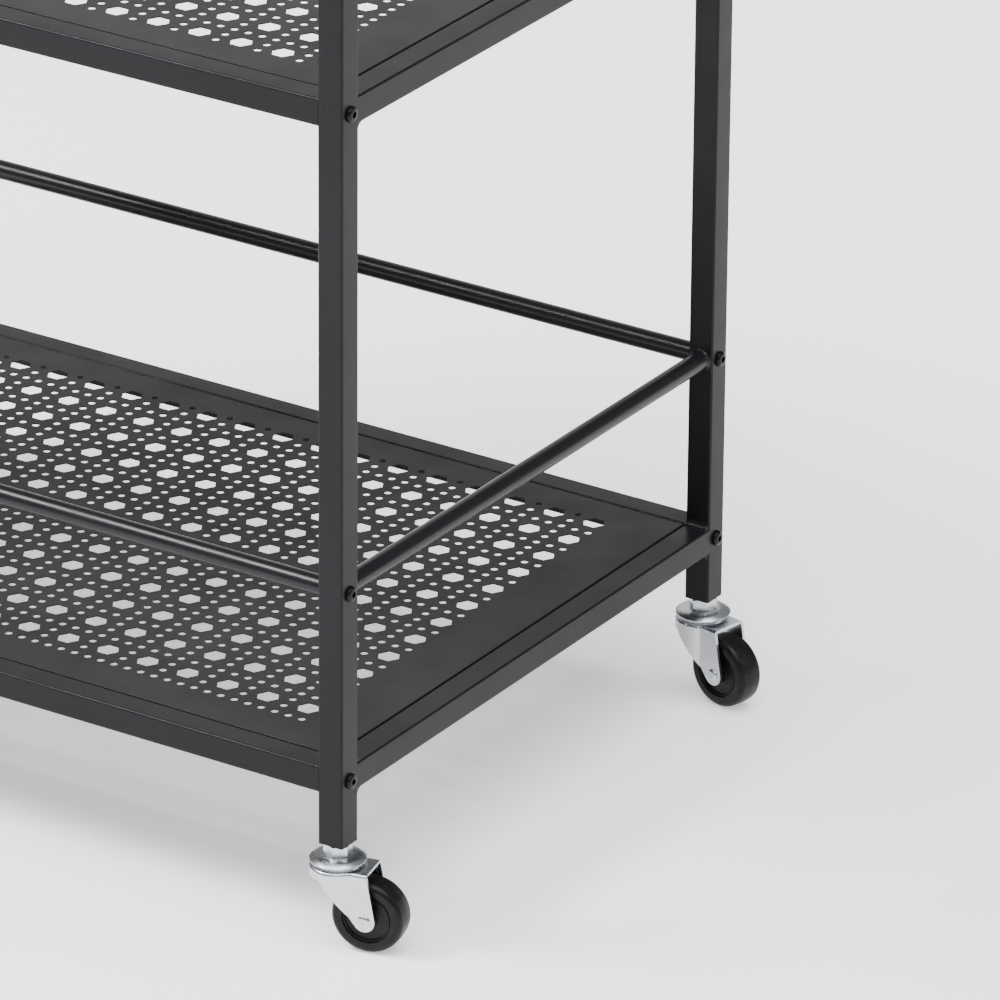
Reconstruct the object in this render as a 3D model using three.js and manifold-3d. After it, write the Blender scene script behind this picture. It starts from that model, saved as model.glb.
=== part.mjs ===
// A two-tier bar cart on four swivel casters: two welded end frames, joined by long rails and long
// guard bars that are screwed through the legs, with a sheet-metal shelf let into each rail frame.
// Millimetres, +Z up, origin on the floor under the middle of the cart. X runs along the cart.
import * as THREE from "three";
import { mergeVertices } from "three/addons/utils/BufferGeometryUtils.js";
import Module from "manifold-3d";

const wasm = await Module();
wasm.setup();

// ---- Driving dimensions -------------------------------------------------------------------------

const LENGTH = 704; // over the outer faces of the legs, along X
const DEPTH = 474; // over the outer faces of the legs, along Y
const TUBE = 19; // square tube of the legs and rails
const TUBE_WALL = 1.2;
const TUBE_CORNER = 1.5; // outer radius of a tube's corners
const LEG_FOOT = 37; // length of a leg below the lower rail
const LEG_HEAD = 18; // length of a leg above the middle of the upper guard bar
const SHELF_SPACING = 470; // from one shelf to the next
const GUARD_RISE = 144.5; // from the underside of a rail to the middle of its guard bar
const GUARD_DIAMETER = 13.8;

const PANEL_GROOVE = 1.1; // open line between a shelf and its rails
const PANEL_SHEET = 0.8;
const PANEL_FLANGE = 13; // depth of the turned-down edge
const PANEL_LIP = 1.4; // thickness of the lip that is welded to the rails

const SCREW_DIAMETER = 6;
const SCREW_HEAD_DIAMETER = 11.2;
const SCREW_HEAD_HEIGHT = 2.7;
const SCREW_RIM = 0.35; // share of the head's height that is its upright rim
const SCREW_SHOULDER = [0.82, 0.78]; // shares of the head's radius and height where it turns over
const SCREW_CROWN = 0.5; // share of the head's radius that is flat on top
const SCREW_SOCKET = 4; // across the flats
const SCREW_SOCKET_DEPTH = 1.8;
const SCREW_GRIP = 9; // length held in the end of a rail or bar
const END_PLUG = 12; // threaded plug closed into the end of a rail

const CAP_HEIGHT = 3;
const CAP_PLUG = 12;

const STEM_DIAMETER = 10;
const STEM_LENGTH = 26; // screwed up into the leg
const STEM_HEX = 17; // across the flats
const STEM_HEX_HEIGHT = 8;
const RACE_DIAMETER = 38.6; // domed cap over the bearing
const RACE_DOME = 2.6;
const RACE_RIM = 1.6;
const BALL_GAP = 2.4; // open line between the domed cap and the fork

const FORK_DIAMETER = 39; // round top of the fork
const FORK_SHEET = 2;
const FORK_HEADROOM = 6.1; // from the wheel up to the top plate
const FORK_SIDE_ROOM = 2; // from the wheel to each cheek
const FORK_REACH = 25; // from the swivel's axis to the front edge
const FORK_TIP_RADIUS = 7.5;
const FORK_LEAVE = 100; // degrees from the front at which a side leaves the round back
const FORK_SLANT = 38; // degrees of a cheek's rear edge, off the vertical
const FORK_SKIRT = 7; // depth of the turned-down edge at the back

const WHEEL_DIAMETER = 51;
const WHEEL_WIDTH = 20;
const WHEEL_EDGE = 4; // rounding of the tread
const WHEEL_RECESS = 2.4;
const WHEEL_HUB_DIAMETER = 15;
const TRAIL = 23.5; // from the swivel's axis to the axle
const SWIVEL_ANGLE = 12.5; // each caster stands this many degrees off the X axis at rest
const AXLE_DIAMETER = 6;
const AXLE_HEAD_DIAMETER = 9;
const AXLE_HEAD_HEIGHT = 1.6;

const GAP = 0.3; // between pieces that touch

// Sides that stand for a full circle.
const BAR_SIDES = 16;
const HOLE_SIDES = 10;
const RACE_SIDES = 24;
const WHEEL_SIDES = 32;
const PLAN_STEPS = 5; // straight pieces in each curve of the fork's plan
const TIP_STEPS = 6; // and in its round tips

// ---- Places that follow from them ---------------------------------------------------------------

// From the floor up, each caster carries the leg over it, and the leg carries the rails.
const AXLE_HEIGHT = WHEEL_DIAMETER / 2;
const FORK_WIDTH = WHEEL_WIDTH + 2 * (FORK_SIDE_ROOM + FORK_SHEET);
const FORK_TOP = WHEEL_DIAMETER + FORK_HEADROOM + FORK_SHEET;
const RACE_BOTTOM = FORK_TOP + BALL_GAP;
const RACE_TOP = RACE_BOTTOM + RACE_RIM + RACE_DOME;
const LEG_BOTTOM = RACE_TOP + STEM_HEX_HEIGHT + GAP;
const LOWER_RAIL_BOTTOM = LEG_BOTTOM + LEG_FOOT;
const RAIL_BOTTOMS = { lower: LOWER_RAIL_BOTTOM, upper: LOWER_RAIL_BOTTOM + SHELF_SPACING };
const LEG_TOP = RAIL_BOTTOMS.upper + GUARD_RISE + LEG_HEAD;
const LEG_X = LENGTH / 2 - TUBE / 2;
const LEG_Y = DEPTH / 2 - TUBE / 2;
const TIERS = Object.keys(RAIL_BOTTOMS);
const SIDES = { left: -1, right: 1 };
const FACES = { front: -1, back: 1 };
const SCREW_HOLE = SCREW_DIAMETER + 2 * GAP;

// ---- Finishes -----------------------------------------------------------------------------------

const finish = (color, roughness, metalness) =>
  new THREE.MeshStandardMaterial({ color, roughness, metalness });
const powderCoat = finish(0x3f3f44, 0.5, 0.25);
const zincPlate = finish(0xc9ccd0, 0.28, 1);
const blackScrew = finish(0x1b1b1d, 0.4, 0.6);
const blackPlastic = finish(0x1a1a1c, 0.6, 0);
const wheelRubber = finish(0x202024, 0.55, 0);

// ---- Solids -------------------------------------------------------------------------------------

// A closed three.js geometry as a manifold-3d solid.
function solid(geometry) {
  const bare = geometry.clone();
  bare.deleteAttribute("normal");
  bare.deleteAttribute("uv");
  const merged = mergeVertices(bare, 1e-4);
  const index = merged.index.array;
  return new wasm.Manifold(
    new wasm.Mesh({
      numProp: 3,
      vertProperties: new Float32Array(merged.attributes.position.array),
      triVerts: new Uint32Array(index),
    }),
  );
}

// A manifold-3d solid as a three.js geometry.
function surface(body) {
  const mesh = body.getMesh();
  const geometry = new THREE.BufferGeometry();
  geometry.setAttribute("position", new THREE.BufferAttribute(mesh.vertProperties, mesh.numProp));
  geometry.setIndex(new THREE.BufferAttribute(mesh.triVerts, 1));
  const faceted = geometry.toNonIndexed();
  faceted.computeVertexNormals();
  return faceted;
}

// A block between two corners.
function block(x0, x1, y0, y1, z0, z1) {
  const box = new THREE.BoxGeometry(x1 - x0, y1 - y0, z1 - z0);
  return solid(box.translate((x0 + x1) / 2, (y0 + y1) / 2, (z0 + z1) / 2));
}

// A round bar about the Z axis, from z0 to z1.
function roundBar(diameter, z0, z1, sides = BAR_SIDES) {
  const bar = new THREE.CylinderGeometry(diameter / 2, diameter / 2, z1 - z0, sides);
  return solid(bar.rotateX(Math.PI / 2).translate(0, 0, (z0 + z1) / 2));
}

// A hexagonal bar about the Z axis, measured across its flats.
function hexBar(acrossFlats, z0, z1) {
  return roundBar(acrossFlats / Math.cos(Math.PI / 6), z0, z1, 6);
}

// An outline in the XY plane, drawn up from z0 to z1.
function prism(shape, z0, z1, curveSegments = 2) {
  const options = { depth: z1 - z0, bevelEnabled: false, curveSegments };
  return solid(new THREE.ExtrudeGeometry(shape, options).translate(0, 0, z0));
}

// Turns a solid that stands along Z until it lies along X.
function alongX(body) {
  return body.rotate([0, 90, 0]);
}

// A square with rounded corners.
function roundedSquare(side, corner) {
  const h = side / 2;
  const shape = new THREE.Shape();
  shape.moveTo(-h + corner, -h);
  shape.lineTo(h - corner, -h);
  shape.absarc(h - corner, -h + corner, corner, -Math.PI / 2, 0);
  shape.lineTo(h, h - corner);
  shape.absarc(h - corner, h - corner, corner, 0, Math.PI / 2);
  shape.lineTo(-h + corner, h);
  shape.absarc(-h + corner, h - corner, corner, Math.PI / 2, Math.PI);
  shape.lineTo(-h, -h + corner);
  shape.absarc(-h + corner, -h + corner, corner, Math.PI, 1.5 * Math.PI);
  return shape;
}

// A solid of revolution about the Z axis, from [radius, height] points that start and end on it
// or close on themselves.
function turned(profile, sides = BAR_SIDES) {
  const points = profile.map(([radius, height]) => new THREE.Vector2(radius, height));
  return solid(new THREE.LatheGeometry(points, sides).rotateX(Math.PI / 2));
}

// ---- Tubes and bars -----------------------------------------------------------------------------

const boreOf = (side) => side - 2 * TUBE_WALL;
const boreCorner = Math.max(TUBE_CORNER - TUBE_WALL, 0.4);

// An open square tube along Z.
function openTube(z0, z1) {
  const outside = prism(roundedSquare(TUBE, TUBE_CORNER), z0, z1);
  const inside = prism(roundedSquare(boreOf(TUBE), boreCorner), z0 - 1, z1 + 1);
  return outside.subtract(inside);
}

// A rail with a threaded plug closed into each end, about the origin and along X.
function screwedRail(length) {
  const outside = prism(roundedSquare(TUBE, TUBE_CORNER), -length / 2, length / 2);
  const hollow = prism(
    roundedSquare(boreOf(TUBE), boreCorner),
    -length / 2 + END_PLUG,
    length / 2 - END_PLUG,
  );
  const thread = roundBar(SCREW_HOLE, -length / 2 - 1, length / 2 + 1, HOLE_SIDES);
  return alongX(outside.subtract(hollow).subtract(thread));
}

// A rail or bar that is welded between two legs keeps its ends open or solid.
function weldedRail(length) {
  return openTube(-length / 2, length / 2).rotate([90, 0, 0]);
}

function weldedBar(length) {
  return roundBar(GUARD_DIAMETER, -length / 2, length / 2).rotate([90, 0, 0]);
}

// A guard bar with a threaded hole in each end, about the origin and along X.
function screwedBar(length) {
  const depth = SCREW_GRIP + GAP;
  const bar = roundBar(GUARD_DIAMETER, -length / 2, length / 2);
  const lowHole = roundBar(SCREW_HOLE, -length / 2 - 1, -length / 2 + depth, HOLE_SIDES);
  const highHole = roundBar(SCREW_HOLE, length / 2 - depth, length / 2 + 1, HOLE_SIDES);
  return alongX(bar.subtract(lowHole).subtract(highHole));
}

// Heights at which screws pass through a leg: the middle of each rail and of each guard bar.
const railMiddle = (tier) => RAIL_BOTTOMS[tier] + TUBE / 2;
const guardMiddle = (tier) => RAIL_BOTTOMS[tier] + GUARD_RISE;
const screwHeights = TIERS.flatMap((tier) => [railMiddle(tier), guardMiddle(tier)]);

function leg() {
  const holes = screwHeights.map((height) =>
    alongX(roundBar(SCREW_HOLE, -TUBE, TUBE, HOLE_SIDES)).translate([0, 0, height]),
  );
  return holes.reduce((body, hole) => body.subtract(hole), openTube(LEG_BOTTOM, LEG_TOP));
}

function legCap() {
  const plugSide = boreOf(TUBE) - 2 * GAP;
  const top = prism(roundedSquare(TUBE, TUBE_CORNER), LEG_TOP + GAP, LEG_TOP + CAP_HEIGHT);
  const plug = prism(roundedSquare(plugSide, boreCorner), LEG_TOP - CAP_PLUG, LEG_TOP + 1);
  return top.add(plug);
}

// A button-head screw along X: the head stands on the plane x = 0, the shank runs towards -X.
function screw() {
  const head = SCREW_HEAD_DIAMETER / 2;
  const profile = [
    [0, -TUBE - SCREW_GRIP],
    [SCREW_DIAMETER / 2, -TUBE - SCREW_GRIP],
    [SCREW_DIAMETER / 2, GAP],
    [head, GAP],
    [head, GAP + SCREW_RIM * SCREW_HEAD_HEIGHT],
    [SCREW_SHOULDER[0] * head, GAP + SCREW_SHOULDER[1] * SCREW_HEAD_HEIGHT],
    [SCREW_CROWN * head, GAP + SCREW_HEAD_HEIGHT],
    [0, GAP + SCREW_HEAD_HEIGHT],
  ];
  const socketFloor = GAP + SCREW_HEAD_HEIGHT - SCREW_SOCKET_DEPTH;
  const socket = hexBar(SCREW_SOCKET, socketFloor, GAP + SCREW_HEAD_HEIGHT + 1);
  return alongX(turned(profile, HOLE_SIDES).subtract(socket));
}

// ---- Shelf --------------------------------------------------------------------------------------

// A shallow pan, upside down: a flat sheet flush with the tops of the rails, a flange turned down
// inside them, and a lip turned out to meet them.
function shelf(railBottom) {
  const top = railBottom + TUBE;
  const outerX = LENGTH / 2 - TUBE - PANEL_GROOVE;
  const outerY = DEPTH / 2 - TUBE - PANEL_GROOVE;
  const innerX = outerX - PANEL_SHEET;
  const innerY = outerY - PANEL_SHEET;
  const low = top - PANEL_FLANGE;
  const pan = block(-outerX, outerX, -outerY, outerY, low, top);
  const hollow = block(-innerX, innerX, -innerY, innerY, low - 1, top - PANEL_SHEET);
  const lipX = LENGTH / 2 - TUBE - GAP;
  const lipY = DEPTH / 2 - TUBE - GAP;
  const lip = block(-lipX, lipX, -lipY, lipY, low, low + PANEL_LIP);
  const opening = block(-innerX, innerX, -innerY, innerY, low - 1, low + PANEL_LIP + 1);
  return pan.subtract(hollow).add(lip.subtract(opening));
}

// ---- Caster -------------------------------------------------------------------------------------
// Each piece is drawn about the swivel's axis, with the wheel trailing towards +X.

// Threaded stem, hexagon, domed bearing cap and the pin that carries the fork.
function casterStem() {
  const pinTop = RACE_BOTTOM - GAP;
  const washerTop = FORK_TOP - FORK_SHEET - GAP;
  const race = RACE_DIAMETER / 2;
  const pin = STEM_DIAMETER / 2;
  const washer = pin + 2.5;
  const profile = [
    [0, washerTop - 2],
    [washer, washerTop - 2],
    [washer, washerTop],
    [pin, washerTop],
    [pin, pinTop],
    [race - 1.5, RACE_BOTTOM],
    [race, RACE_BOTTOM + 0.5],
    [race, RACE_BOTTOM + RACE_RIM],
    [0.75 * race, RACE_TOP - 0.6],
    [0.5 * race, RACE_TOP],
    [0, RACE_TOP],
  ];
  const hexagon = hexBar(STEM_HEX, RACE_TOP - 1, RACE_TOP + STEM_HEX_HEIGHT);
  const stem = roundBar(STEM_DIAMETER, RACE_TOP, LEG_BOTTOM + STEM_LENGTH, HOLE_SIDES);
  return turned(profile, RACE_SIDES).add(hexagon).add(stem);
}

// Plan of the fork: round at the back, drawn in to two flat cheeks at the front.
function forkPlan(inset, reach) {
  const radius = FORK_DIAMETER / 2 - inset;
  const cheek = FORK_WIDTH / 2 - inset;
  const leave = THREE.MathUtils.degToRad(FORK_LEAVE);
  const x = radius * Math.cos(leave);
  const y = radius * Math.sin(leave);
  const flat = 0.5 * FORK_REACH; // where a side becomes straight
  const pull = 0.45 * flat; // where the curve between circle and cheek is drawn to
  const shape = new THREE.Shape();
  shape.moveTo(reach, -cheek);
  shape.lineTo(reach, cheek);
  shape.lineTo(flat, cheek);
  shape.quadraticCurveTo(pull, y, x, y);
  shape.absarc(0, 0, radius, leave, 2 * Math.PI - leave);
  shape.quadraticCurveTo(pull, -y, flat, -cheek);
  return shape;
}

// Side view of the fork, in X and Z: the cheeks taper from the top to a round tip at the axle.
function forkSide() {
  const back = -FORK_DIAMETER / 2 - 1;
  const tip = new THREE.Vector2(TRAIL, AXLE_HEIGHT);
  const slant = THREE.MathUtils.degToRad(FORK_SLANT);
  const skirtFoot = FORK_TOP - FORK_SKIRT;
  const leave = Math.PI + slant; // direction from the tip's centre to where the rear edge meets it
  const footX = tip.x + FORK_TIP_RADIUS * Math.cos(leave);
  const footZ = tip.y + FORK_TIP_RADIUS * Math.sin(leave);
  const shape = new THREE.Shape();
  shape.moveTo(back, FORK_TOP + 1);
  shape.lineTo(back, skirtFoot);
  shape.lineTo(footX - (skirtFoot - footZ) * Math.tan(slant), skirtFoot);
  shape.lineTo(footX, footZ);
  shape.absarc(tip.x, tip.y, FORK_TIP_RADIUS, leave - 2 * Math.PI, 0.05);
  shape.lineTo(FORK_REACH, FORK_TOP - FORK_SHEET - 1);
  shape.lineTo(FORK_REACH, FORK_TOP + 1);
  return shape;
}

function fork() {
  const low = AXLE_HEIGHT - FORK_TIP_RADIUS - 1;
  const shell = prism(forkPlan(0, FORK_REACH + 2 * FORK_TIP_RADIUS), low, FORK_TOP, PLAN_STEPS);
  const room = prism(
    forkPlan(FORK_SHEET, FORK_REACH + 3 * FORK_TIP_RADIUS),
    low - 1,
    FORK_TOP - FORK_SHEET,
    PLAN_STEPS,
  );
  const side = prism(forkSide(), -FORK_DIAMETER, FORK_DIAMETER, TIP_STEPS).rotate([90, 0, 0]);
  const pinHole = roundBar(STEM_DIAMETER + 2 * GAP, 0, FORK_TOP + 1);
  const axleHole = roundBar(AXLE_DIAMETER + 2 * GAP, -FORK_WIDTH, FORK_WIDTH, HOLE_SIDES)
    .rotate([90, 0, 0])
    .translate([TRAIL, 0, AXLE_HEIGHT]);
  return shell.subtract(room).intersect(side).subtract(pinHole).subtract(axleHole);
}

// A rivet through both cheeks, along Y.
function axle() {
  const seat = FORK_WIDTH / 2 + GAP;
  const shank = AXLE_DIAMETER / 2;
  const head = AXLE_HEAD_DIAMETER / 2;
  const end = seat + AXLE_HEAD_HEIGHT;
  const profile = [
    [0, -end],
    [0.55 * head, -end],
    [head, -seat - 0.4],
    [head, -seat],
    [shank, -seat],
    [shank, seat],
    [head, seat],
    [head, seat + 0.4],
    [0.55 * head, end],
    [0, end],
  ];
  return turned(profile, HOLE_SIDES).rotate([90, 0, 0]).translate([TRAIL, 0, AXLE_HEIGHT]);
}

// A moulded wheel with a rounded tread, dished sides and a hub, along Y.
function wheel() {
  const radius = WHEEL_DIAMETER / 2;
  const half = WHEEL_WIDTH / 2;
  const hub = WHEEL_HUB_DIAMETER / 2;
  const bore = AXLE_DIAMETER / 2 + GAP;
  const hubHalf = FORK_WIDTH / 2 - FORK_SHEET - GAP;
  const dish = half - WHEEL_RECESS;
  const lipRadius = 0.66 * radius;
  const oneSide = [
    [bore, hubHalf],
    [hub, hubHalf],
    [hub + 0.8, dish],
    [lipRadius - 0.8, dish],
    [lipRadius, half],
    [radius - WHEEL_EDGE, half],
    [radius - 0.3 * WHEEL_EDGE, half - 0.3 * WHEEL_EDGE],
    [radius, half - WHEEL_EDGE],
  ];
  const otherSide = oneSide.map(([r, y]) => [r, -y]).reverse();
  const ring = [...oneSide, ...otherSide, oneSide[0]].reverse();
  return turned(ring, WHEEL_SIDES).rotate([90, 0, 0]).translate([TRAIL, 0, AXLE_HEIGHT]);
}

// ---- Assembly -----------------------------------------------------------------------------------

const cart = new THREE.Group();

function place(name, body, material, x = 0, y = 0, z = 0, turn = 0) {
  const mesh = new THREE.Mesh(surface(body), material.clone());
  mesh.name = name;
  mesh.position.set(x, y, z);
  mesh.rotation.z = THREE.MathUtils.degToRad(turn);
  cart.add(mesh);
}

const longSpan = LENGTH - 2 * TUBE - 2 * GAP; // between the legs, along X
const sideSpan = DEPTH - 2 * TUBE - 2 * GAP; // between the legs, along Y

for (const [face, signY] of Object.entries(FACES)) {
  for (const [side, signX] of Object.entries(SIDES)) {
    const corner = `${face}_${side}`;
    const [x, y] = [signX * LEG_X, signY * LEG_Y];
    const turn = signX > 0 ? -signY * SWIVEL_ANGLE : 180 + signY * SWIVEL_ANGLE;
    place(`leg_${corner}`, leg(), powderCoat, x, y);
    place(`leg_cap_${corner}`, legCap(), blackPlastic, x, y);
    place(`caster_stem_${corner}`, casterStem(), zincPlate, x, y, 0, turn);
    place(`caster_fork_${corner}`, fork(), zincPlate, x, y, 0, turn);
    place(`caster_axle_${corner}`, axle(), zincPlate, x, y, 0, turn);
    place(`caster_wheel_${corner}`, wheel(), wheelRubber, x, y, 0, turn);
    for (const tier of TIERS) {
      const turnScrew = signX > 0 ? 0 : 180;
      const outerX = (signX * LENGTH) / 2;
      place(`rail_screw_${tier}_${corner}`, screw(), blackScrew, outerX, y, railMiddle(tier), turnScrew);
      place(`guard_screw_${tier}_${corner}`, screw(), blackScrew, outerX, y, guardMiddle(tier), turnScrew);
    }
  }
}

for (const tier of TIERS) {
  for (const [face, signY] of Object.entries(FACES)) {
    const y = signY * LEG_Y;
    place(`long_rail_${tier}_${face}`, screwedRail(longSpan), powderCoat, 0, y, railMiddle(tier));
    place(`long_guard_${tier}_${face}`, screwedBar(longSpan), powderCoat, 0, y, guardMiddle(tier));
  }
  for (const [side, signX] of Object.entries(SIDES)) {
    const x = signX * LEG_X;
    place(`side_rail_${tier}_${side}`, weldedRail(sideSpan), powderCoat, x, 0, railMiddle(tier));
    place(`side_guard_${tier}_${side}`, weldedBar(sideSpan), powderCoat, x, 0, guardMiddle(tier));
  }
  place(`shelf_${tier}`, shelf(RAIL_BOTTOMS[tier]), powderCoat);
}

export default cart;
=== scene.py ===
# %% [markdown]
# # A bar cart of square tube, perforated sheet and zinc-plated casters
# The frame file holds the cart's working shape: every tube, screw, fork and wheel, at its real
# size and on the body that it moves with. This lesson builds the surfaces that a buyer would see
# over that frame, one kind of piece at a time, and then finishes each with its own material.

# %% Load the frame
from math import atan2, cos, pi, radians, sin

import bpy
from mathutils import Matrix, Vector


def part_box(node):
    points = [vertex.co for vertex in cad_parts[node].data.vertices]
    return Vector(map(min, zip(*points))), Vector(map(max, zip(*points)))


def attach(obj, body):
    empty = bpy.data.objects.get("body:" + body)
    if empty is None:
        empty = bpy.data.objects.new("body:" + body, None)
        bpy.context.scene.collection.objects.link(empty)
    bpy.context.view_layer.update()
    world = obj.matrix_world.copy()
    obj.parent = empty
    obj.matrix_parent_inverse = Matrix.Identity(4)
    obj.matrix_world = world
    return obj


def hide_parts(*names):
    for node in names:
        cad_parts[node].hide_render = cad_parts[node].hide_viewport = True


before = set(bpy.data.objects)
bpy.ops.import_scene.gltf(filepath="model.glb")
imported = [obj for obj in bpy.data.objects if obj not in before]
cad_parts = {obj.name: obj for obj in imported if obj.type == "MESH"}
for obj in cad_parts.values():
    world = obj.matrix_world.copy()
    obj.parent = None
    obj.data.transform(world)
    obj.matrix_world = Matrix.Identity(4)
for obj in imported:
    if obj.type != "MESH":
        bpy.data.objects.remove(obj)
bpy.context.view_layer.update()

# %% [markdown]
# Everything is in metres and stands where the frame says. Sizes that the frame already knows are
# measured from it, so the looks can't drift away from the working model.

# %% Sizes measured from the frame
MM = 0.001
NEAR = 0.01 * MM  # points closer than this are one

leg_low, leg_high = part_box("leg_front_right")
TUBE = leg_high.x - leg_low.x
LEG_BOTTOM, LEG_TOP = leg_low.z, leg_high.z
HALF_LENGTH = leg_high.x
HALF_DEPTH = -leg_low.y
LEG_X = HALF_LENGTH - TUBE / 2
LEG_Y = HALF_DEPTH - TUBE / 2
CORNERS = {
    "front_left": (-1, -1),
    "front_right": (1, -1),
    "back_left": (-1, 1),
    "back_right": (1, 1),
}
TIERS = ("lower", "upper")


def middle_of(node):
    """The middle of a frame node's box."""
    low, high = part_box(node)
    return (low + high) / 2


RAIL_Z = {tier: middle_of(f"long_rail_{tier}_front").z for tier in TIERS}
GUARD_Z = {tier: middle_of(f"long_guard_{tier}_front").z for tier in TIERS}
guard_low, guard_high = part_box("long_guard_lower_front")
GUARD_RADIUS = (guard_high.z - guard_low.z) / 2
print(f"tube {TUBE:.4f}, legs from {LEG_BOTTOM:.4f} to {LEG_TOP:.4f}")
print(f"guard radius {GUARD_RADIUS:.4f}")

# %% [markdown]
# The camera stands far off with a long lens, high on the right, and sees the lower right part of
# the cart. It is turned about its own axis by half a degree. It is placed first, so that every
# later picture is judged from the same place.

# %% The camera
VIEW_YAW = radians(32.703)
VIEW_PITCH = radians(24.613)
VIEW_ROLL = radians(0.470)
LENS = 334.05
CAMERA_OFFSET = Vector((3.0156, -4.5088, 2.8114))  # from the foot of the front right corner

towards_camera = Vector(
    (sin(VIEW_YAW) * cos(VIEW_PITCH), -cos(VIEW_YAW) * cos(VIEW_PITCH), sin(VIEW_PITCH))
)
level_right = (-towards_camera).cross(Vector((0, 0, 1))).normalized()
level_up = level_right.cross(-towards_camera)
view_right = level_right * cos(VIEW_ROLL) + level_up * sin(VIEW_ROLL)
view_up = level_up * cos(VIEW_ROLL) - level_right * sin(VIEW_ROLL)
camera_data = bpy.data.cameras.new("product_camera")
camera_data.sensor_width = 36
camera_data.lens = LENS
camera = bpy.data.objects.new("product_camera", camera_data)
bpy.context.collection.objects.link(camera)
camera_place = Vector((HALF_LENGTH, -HALF_DEPTH, 0)) + CAMERA_OFFSET
camera.matrix_world = Matrix.Translation(camera_place) @ Matrix(
    (view_right, view_up, towards_camera)
).transposed().to_4x4()
bpy.context.scene.camera = camera
print("camera at", [round(v, 3) for v in camera_place])

# %% [markdown]
# ## Small tools for the bench
# An operator works on whatever is selected, so each helper starts by letting go of everything. The
# helpers only wrap what a modeller does by hand: pick faces by where they are, run one operator,
# look at the result.

# %% Picking and finishing
def let_go():
    """Nothing is selected and nothing is being edited."""
    if bpy.context.object and bpy.context.object.mode != "OBJECT":
        bpy.ops.object.mode_set(mode="OBJECT")
    bpy.ops.object.select_all(action="DESELECT")


def hold(*pieces):
    """Selects these pieces, the last one active."""
    let_go()
    for piece in pieces:
        piece.select_set(True)
        bpy.context.view_layer.objects.active = piece
    return pieces[-1]


def pick(piece, faces=None, edges=None):
    """Selects faces by centre and normal, or edges by their two ends, and enters edit mode."""
    hold(piece)
    mesh = piece.data
    for part in (*mesh.vertices, *mesh.edges, *mesh.polygons):
        part.select = False
    bpy.ops.object.mode_set(mode="EDIT")
    bpy.ops.mesh.select_mode(type="FACE" if faces else "EDGE")
    bpy.ops.mesh.select_all(action="DESELECT")
    bpy.ops.object.mode_set(mode="OBJECT")
    if faces:
        for face in mesh.polygons:
            face.select = faces(face.center, face.normal)
    if edges:
        for edge in mesh.edges:
            ends = [mesh.vertices[i].co for i in edge.vertices]
            edge.select = edges(*ends)
    bpy.ops.object.mode_set(mode="EDIT")


def pick_all(piece):
    hold(piece)
    bpy.ops.object.mode_set(mode="EDIT")
    bpy.ops.mesh.select_all(action="SELECT")


def box_between(name, low, high):
    """A box primitive between two corners."""
    let_go()
    low, high = Vector(low), Vector(high)
    bpy.ops.mesh.primitive_cube_add(size=1, location=(low + high) / 2, scale=high - low)
    piece = bpy.context.object
    piece.name = name
    bpy.ops.object.transform_apply(location=True, rotation=True, scale=True)
    return piece


def add_modifier(piece, kind, **settings):
    """Adds a modifier, sets it and applies it."""
    hold(piece)
    modifier = piece.modifiers.new(kind.lower(), kind)
    for key, value in settings.items():
        setattr(modifier, key, value)
    bpy.ops.object.modifier_apply(modifier=modifier.name)
    return piece


def join(name, *pieces):
    """Several meshes become one piece."""
    hold(*pieces)
    bpy.ops.object.join()
    joined = bpy.context.object
    joined.name = name
    return joined


def smooth(piece, degrees=35):
    """Smooth shading up to an angle, with the flat faces kept flat."""
    let_go()
    hold(piece)
    bpy.ops.object.shade_smooth_by_angle(angle=radians(degrees))
    add_modifier(piece, "WEIGHTED_NORMAL", mode="FACE_AREA", keep_sharp=True)
    return piece


def triangles(piece):
    return sum(len(face.vertices) - 2 for face in piece.data.polygons)


# %% [markdown]
# A turned piece, such as a wheel or a rivet, starts as one point. The point is extruded along the
# outline of half the piece, and the outline is then spun round the axis. An arc helper gives the
# outline its round stretches.

# %% Turning on the lathe
def arc(centre_r, centre_h, radius, start, end, steps=5):
    """Points of an arc in an outline, with its angles in degrees."""
    turns = [radians(start + (end - start) * i / steps) for i in range(steps + 1)]
    return [(centre_r + radius * cos(a), centre_h + radius * sin(a)) for a in turns]


def turned(name, outline, steps=64):
    """Spins an outline of (radius, height) points round the Z axis."""
    let_go()
    bpy.ops.mesh.primitive_plane_add(size=MM, location=(0, 0, 0))
    piece = bpy.context.object
    piece.name = name
    pick_all(piece)
    bpy.ops.mesh.select_mode(type="VERT")
    bpy.ops.mesh.merge(type="CENTER")
    at = (0, 0)
    for number, point in enumerate(outline):
        step = {"value": (point[0] - at[0], 0, point[1] - at[1])}
        if number == 0:
            bpy.ops.transform.translate(**step)
        else:
            bpy.ops.mesh.extrude_vertices_move(TRANSFORM_OT_translate=step)
        at = point
    bpy.ops.mesh.select_all(action="SELECT")
    bpy.ops.mesh.spin(steps=steps, angle=2 * pi, center=(0, 0, 0), axis=(0, 0, 1))
    bpy.ops.mesh.select_all(action="SELECT")
    bpy.ops.mesh.remove_doubles(threshold=1e-6)
    bpy.ops.mesh.normals_make_consistent(inside=False)
    bpy.ops.object.mode_set(mode="OBJECT")
    return piece


# %% [markdown]
# A piece that repeats is modelled once and then copied with a mesh of its own. The copy's place
# goes into its mesh, so that the object itself stays at the origin like the frame's own nodes.

# %% Copies that know their place
finished = []  # every finished piece, with the name of its finish


def set_in_place(model, name, body, finish_name, place=None, nodes=()):
    """Copies a model to its place, rides it on a body and notes which finish it gets."""
    piece = bpy.data.objects.new(name, model.data.copy())
    bpy.context.collection.objects.link(piece)
    if place is not None:
        piece.data.transform(place)
        if place.determinant() < 0:
            piece.data.flip_normals()
    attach(piece, body)
    if nodes:
        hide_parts(*nodes)
    finished.append((piece, finish_name))
    return piece


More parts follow.
